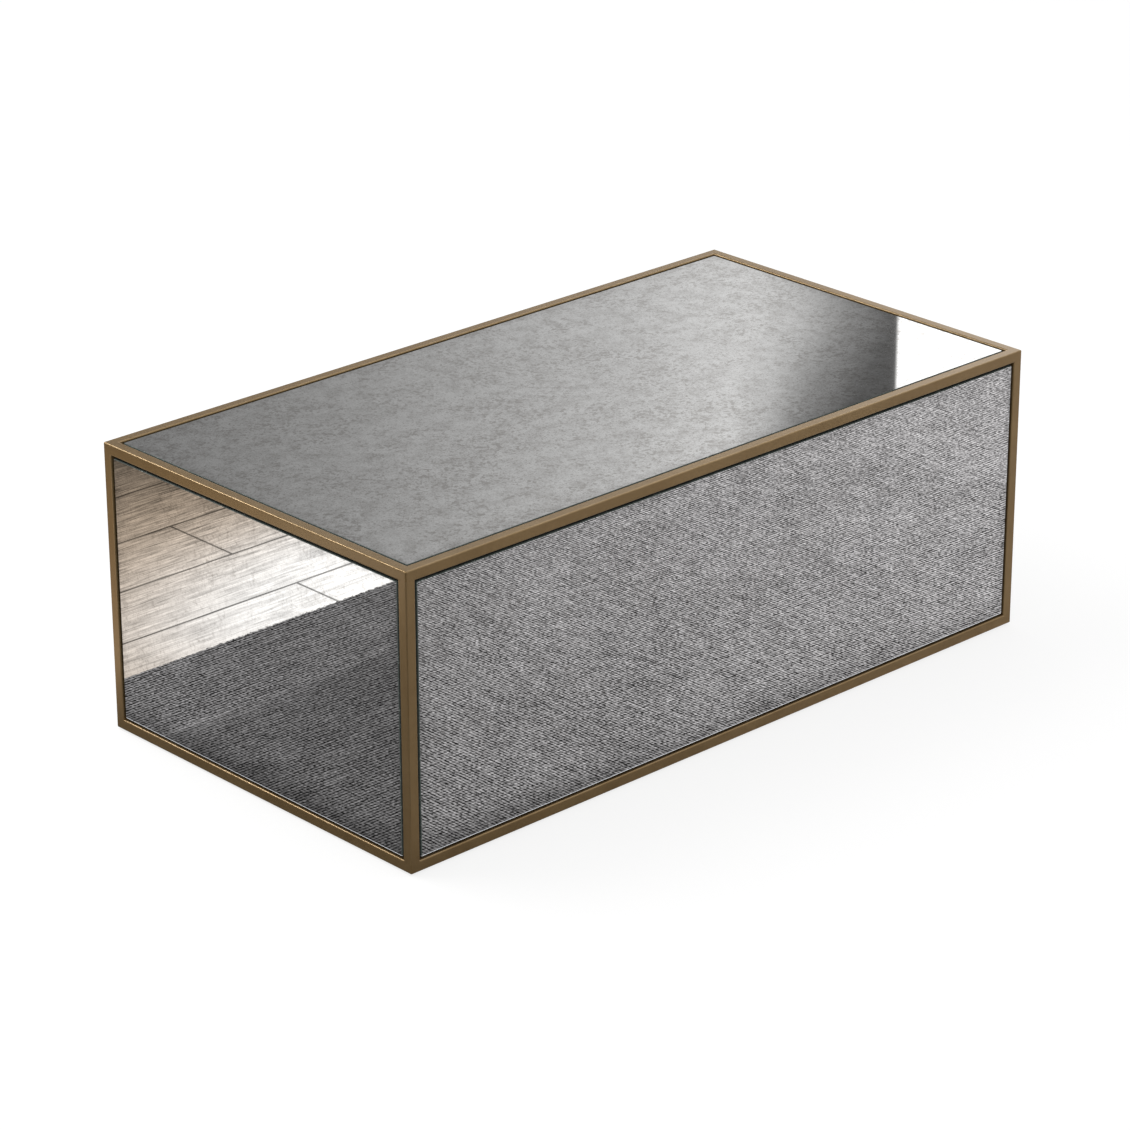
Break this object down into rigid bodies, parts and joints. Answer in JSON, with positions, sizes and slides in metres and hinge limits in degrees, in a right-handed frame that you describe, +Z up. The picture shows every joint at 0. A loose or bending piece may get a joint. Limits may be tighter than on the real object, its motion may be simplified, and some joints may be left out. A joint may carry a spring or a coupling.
{
  "type": "mirrored block coffee table",
  "caption": "Low rectangular coffee table: antiqued mirror panels on the top and all sides of a welded bronze tube frame, on screw-in levelling feet.",
  "frame": {"origin": "on the floor under the middle of the table, with the feet screwed right in", "axes": "+X along the long side, -Y out of the front long face, +Z up"},
  "size_m": [1.2, 0.635, 0.439],
  "materials": {
    "bronze_frame": "satin antique bronze powder coat, rubbed slightly lighter at the corners",
    "antiqued_mirror": "grey antiqued mirror with fine foxing and dark smudges in the silvering",
    "black_board": "fibreboard sprayed matt black",
    "fibreboard": "raw medium-density fibreboard",
    "zinc_steel": "bright zinc plate",
    "nylon": "moulded black nylon"
  },
  "bodies": {
    "table": {"rail_top_front": "bronze_frame", "rail_top_back": "bronze_frame", "rail_top_left": "bronze_frame", "rail_top_right": "bronze_frame", "rail_bottom_front": "bronze_frame", "rail_bottom_back": "bronze_frame", "rail_bottom_left": "bronze_frame", "rail_bottom_right": "bronze_frame", "post_front_left": "bronze_frame", "post_front_right": "bronze_frame", "post_back_right": "bronze_frame", "post_back_left": "bronze_frame", "cross_tube_left": "bronze_frame", "cross_tube_right": "bronze_frame", "mirror_top": "antiqued_mirror", "mirror_front": "antiqued_mirror", "mirror_back": "antiqued_mirror", "mirror_left": "antiqued_mirror", "mirror_right": "antiqued_mirror", "backing_board_top": "black_board", "backing_board_front": "black_board", "backing_board_back": "black_board", "backing_board_left": "black_board", "backing_board_right": "black_board", "ledge_front": "bronze_frame", "ledge_back": "bronze_frame", "ledge_left": "bronze_frame", "ledge_right": "bronze_frame", "fixing_strip_front_left": "bronze_frame", "fixing_strip_front_right": "bronze_frame", "fixing_strip_back_left": "bronze_frame", "fixing_strip_back_right": "bronze_frame", "fixing_strip_left_front": "bronze_frame", "fixing_strip_left_back": "bronze_frame", "fixing_strip_right_front": "bronze_frame", "fixing_strip_right_back": "bronze_frame", "base_board": "fibreboard", "rib_left": "fibreboard", "rib_right": "fibreboard", "corner_plate_front_left": "bronze_frame", "corner_plate_front_right": "bronze_frame", "corner_plate_back_right": "bronze_frame", "corner_plate_back_left": "bronze_frame", "weld_nut_front_left": "zinc_steel", "weld_nut_front_right": "zinc_steel", "weld_nut_back_right": "zinc_steel", "weld_nut_back_left": "zinc_steel", "base_screw_front_left": "zinc_steel", "base_screw_front_right": "zinc_steel", "base_screw_back_right": "zinc_steel", "base_screw_back_left": "zinc_steel"},
    "foot_front_left": {"foot_pad_front_left": "nylon"},
    "stud_front_left": {"foot_stud_front_left": "zinc_steel"},
    "foot_front_right": {"foot_pad_front_right": "nylon"},
    "stud_front_right": {"foot_stud_front_right": "zinc_steel"},
    "foot_back_right": {"foot_pad_back_right": "nylon"},
    "stud_back_right": {"foot_stud_back_right": "zinc_steel"},
    "foot_back_left": {"foot_pad_back_left": "nylon"},
    "stud_back_left": {"foot_stud_back_left": "zinc_steel"}
  },
  "joints": [
    {"name": "foot_slide_front_left", "type": "slide", "parent": "table", "child": "foot_front_left", "axis": [0, 0, -1], "range_m": [0, 0.01]},
    {"name": "stud_turn_front_left", "type": "hinge", "parent": "foot_front_left", "child": "stud_front_left", "pos_m": [-0.5657, -0.2832, 0], "axis": [0, 0, -1], "range_deg": [0, 2880]},
    {"name": "foot_slide_front_right", "type": "slide", "parent": "table", "child": "foot_front_right", "axis": [0, 0, -1], "range_m": [0, 0.01]},
    {"name": "stud_turn_front_right", "type": "hinge", "parent": "foot_front_right", "child": "stud_front_right", "pos_m": [0.5657, -0.2832, 0], "axis": [0, 0, -1], "range_deg": [0, 2880]},
    {"name": "foot_slide_back_right", "type": "slide", "parent": "table", "child": "foot_back_right", "axis": [0, 0, -1], "range_m": [0, 0.01]},
    {"name": "stud_turn_back_right", "type": "hinge", "parent": "foot_back_right", "child": "stud_back_right", "pos_m": [0.5657, 0.2832, 0], "axis": [0, 0, -1], "range_deg": [0, 2880]},
    {"name": "foot_slide_back_left", "type": "slide", "parent": "table", "child": "foot_back_left", "axis": [0, 0, -1], "range_m": [0, 0.01]},
    {"name": "stud_turn_back_left", "type": "hinge", "parent": "foot_back_left", "child": "stud_back_left", "pos_m": [-0.5657, 0.2832, 0], "axis": [0, 0, -1], "range_deg": [0, 2880]}
  ],
  "couplings": [
    {"joint": "stud_turn_front_left", "follows": "foot_slide_front_left", "rad_per_m": 5026.5},
    {"joint": "stud_turn_front_right", "follows": "foot_slide_front_right", "rad_per_m": 5026.5},
    {"joint": "stud_turn_back_right", "follows": "foot_slide_back_right", "rad_per_m": 5026.5},
    {"joint": "stud_turn_back_left", "follows": "foot_slide_back_left", "rad_per_m": 5026.5}
  ]
}
